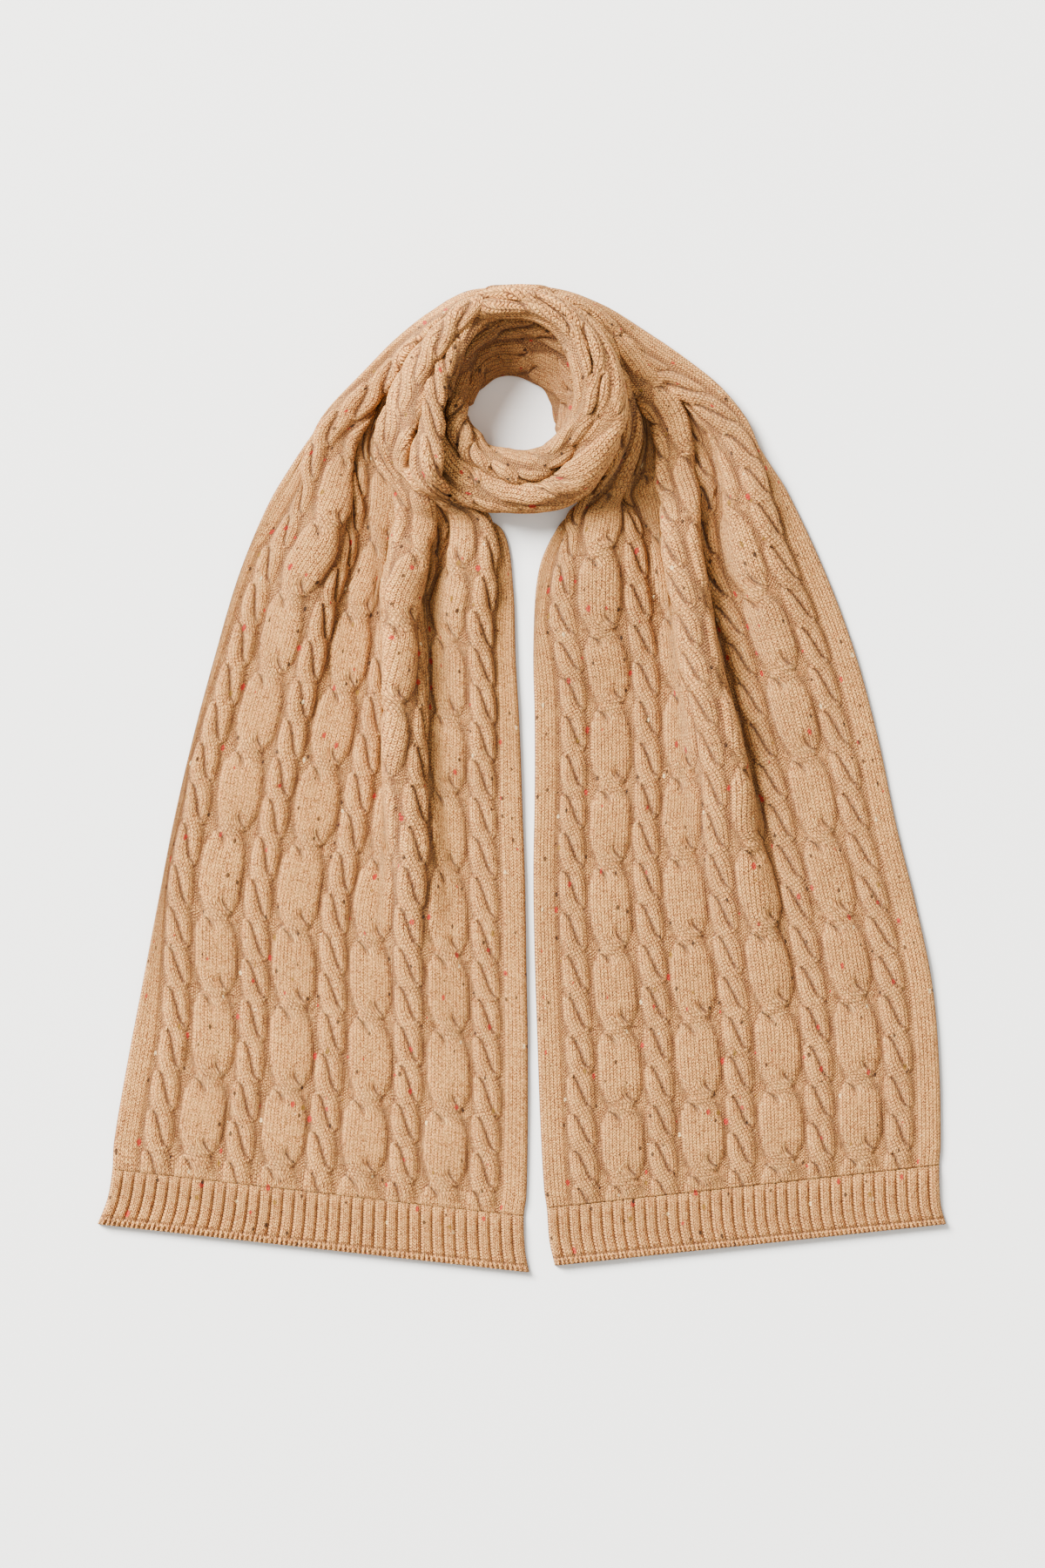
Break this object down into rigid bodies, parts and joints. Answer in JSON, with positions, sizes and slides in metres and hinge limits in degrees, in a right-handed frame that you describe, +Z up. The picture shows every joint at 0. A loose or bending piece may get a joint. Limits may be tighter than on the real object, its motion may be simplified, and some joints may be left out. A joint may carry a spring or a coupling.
{
  "type": "knit scarf",
  "caption": "Cable-knit scarf laid flat: one strip wound one and a half turns round an open neck hole, with two ribbed tails.",
  "frame": {"origin": "on the surface that the scarf lies on, under the middle of its outline", "axes": "+Z up from the surface, +Y from the hems to the ring, +X to the right tail"},
  "size_m": [0.633, 0.7348, 0.069],
  "materials": {
    "cable_knit": "soft flecked wool, cable knit",
    "rib_knit": "soft flecked wool, rib knit"
  },
  "bodies": {
    "root": {"right_rib": "rib_knit", "right_tail": "cable_knit", "loop_back": "cable_knit", "loop_front": "cable_knit", "left_tail": "cable_knit", "left_rib": "rib_knit"}
  },
  "joints": []
}
